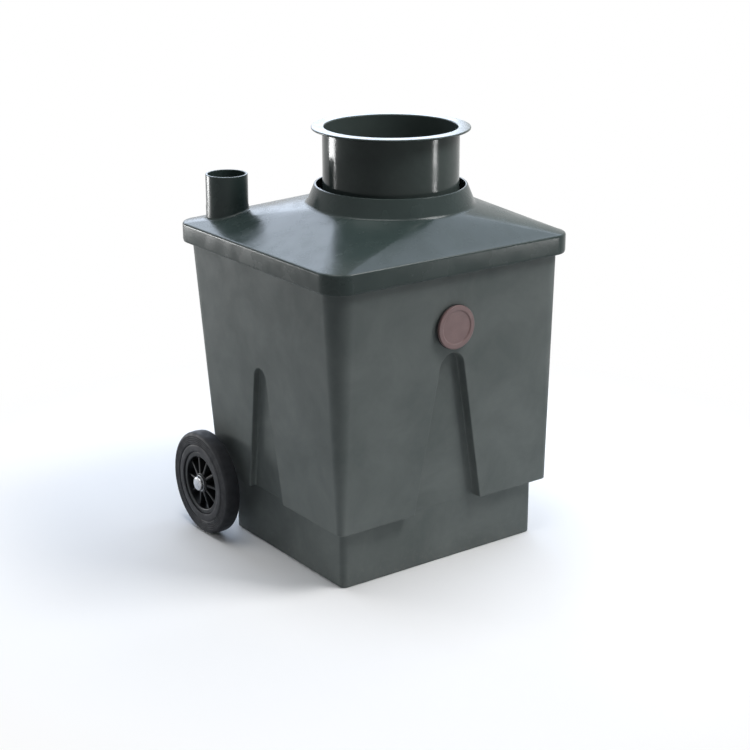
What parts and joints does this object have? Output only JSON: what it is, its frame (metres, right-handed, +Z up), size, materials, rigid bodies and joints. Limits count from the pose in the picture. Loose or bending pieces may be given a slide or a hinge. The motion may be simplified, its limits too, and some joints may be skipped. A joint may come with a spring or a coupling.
{
  "type": "dry toilet container",
  "caption": "Wheeled container of a dry toilet: tapered moulded tank on a plinth, sloping lid with vent stub and collar, sliding flanged neck tube, round plug and rear axle.",
  "frame": {"origin": "middle of the footprint on the floor", "axes": "+Z up, -Y to the front with the plug, +X to the right of someone who looks along +Y at the front"},
  "size_m": [0.6034, 0.52, 0.78],
  "materials": {
    "tank_plastic": "dark grey-green moulded polyethylene, half matt with glossier patches",
    "lid_plastic": "dark blue-green moulded polyethylene, soft gloss",
    "neck_plastic": "dark green drawn pipe, glossy",
    "plug_plastic": "brown-pink, satin",
    "black_plastic": "black moulded polypropylene",
    "rim_plastic": "black nylon, satin",
    "bush_nylon": "natural nylon",
    "tyre_rubber": "solid black rubber, dusty on the tread",
    "seal_rubber": "black rubber",
    "axle_steel": "zinc-plated bar",
    "zinc_steel": "zinc plated",
    "insert_brass": "plain brass",
    "cap_chrome": "bright pressed steel"
  },
  "bodies": {
    "container": {"tank": "tank_plastic", "plug_grommet": "seal_rubber", "axle": "axle_steel", "axle_clamp_left": "black_plastic", "axle_clamp_right": "black_plastic", "clamp_screws": "zinc_steel", "screw_inserts": "insert_brass", "axle_spacer_left": "black_plastic", "axle_spacer_right": "black_plastic", "washer_left": "zinc_steel", "washer_right": "zinc_steel", "axle_cap_left": "cap_chrome", "axle_cap_right": "cap_chrome"},
    "lid": {"lid": "lid_plastic", "lid_seal": "seal_rubber", "neck_seal": "seal_rubber"},
    "neck": {"neck_tube": "neck_plastic"},
    "plug": {"plug_cap": "plug_plastic"},
    "wheel_left": {"wheel_rim_left": "rim_plastic", "tyre_left": "tyre_rubber", "hub_bush_left": "bush_nylon"},
    "wheel_right": {"wheel_rim_right": "rim_plastic", "tyre_right": "tyre_rubber", "hub_bush_right": "bush_nylon"},
    "strainer": {"strainer_plate": "black_plastic", "strainer_pillars": "black_plastic"}
  },
  "joints": [
    {"name": "lid_lift", "type": "slide", "parent": "container", "child": "lid", "axis": [0, 0, 1], "range_m": [0, 0.25]},
    {"name": "neck_slide", "type": "slide", "parent": "lid", "child": "neck", "axis": [0, 0, 1], "range_m": [-0.1, 0.06]},
    {"name": "plug_pull", "type": "slide", "parent": "container", "child": "plug", "axis": [0, -1, 0], "range_m": [0, 0.06]},
    {"name": "wheel_left_spin", "type": "hinge", "parent": "container", "child": "wheel_left", "pos_m": [-0.277, 0.1572, 0.1], "axis": [1, 0, 0], "continuous": true},
    {"name": "wheel_right_spin", "type": "hinge", "parent": "container", "child": "wheel_right", "pos_m": [0.277, 0.1572, 0.1], "axis": [1, 0, 0], "continuous": true},
    {"name": "strainer_lift", "type": "slide", "parent": "container", "child": "strainer", "axis": [0, 0, 1], "range_m": [0, 0.25]}
  ]
}
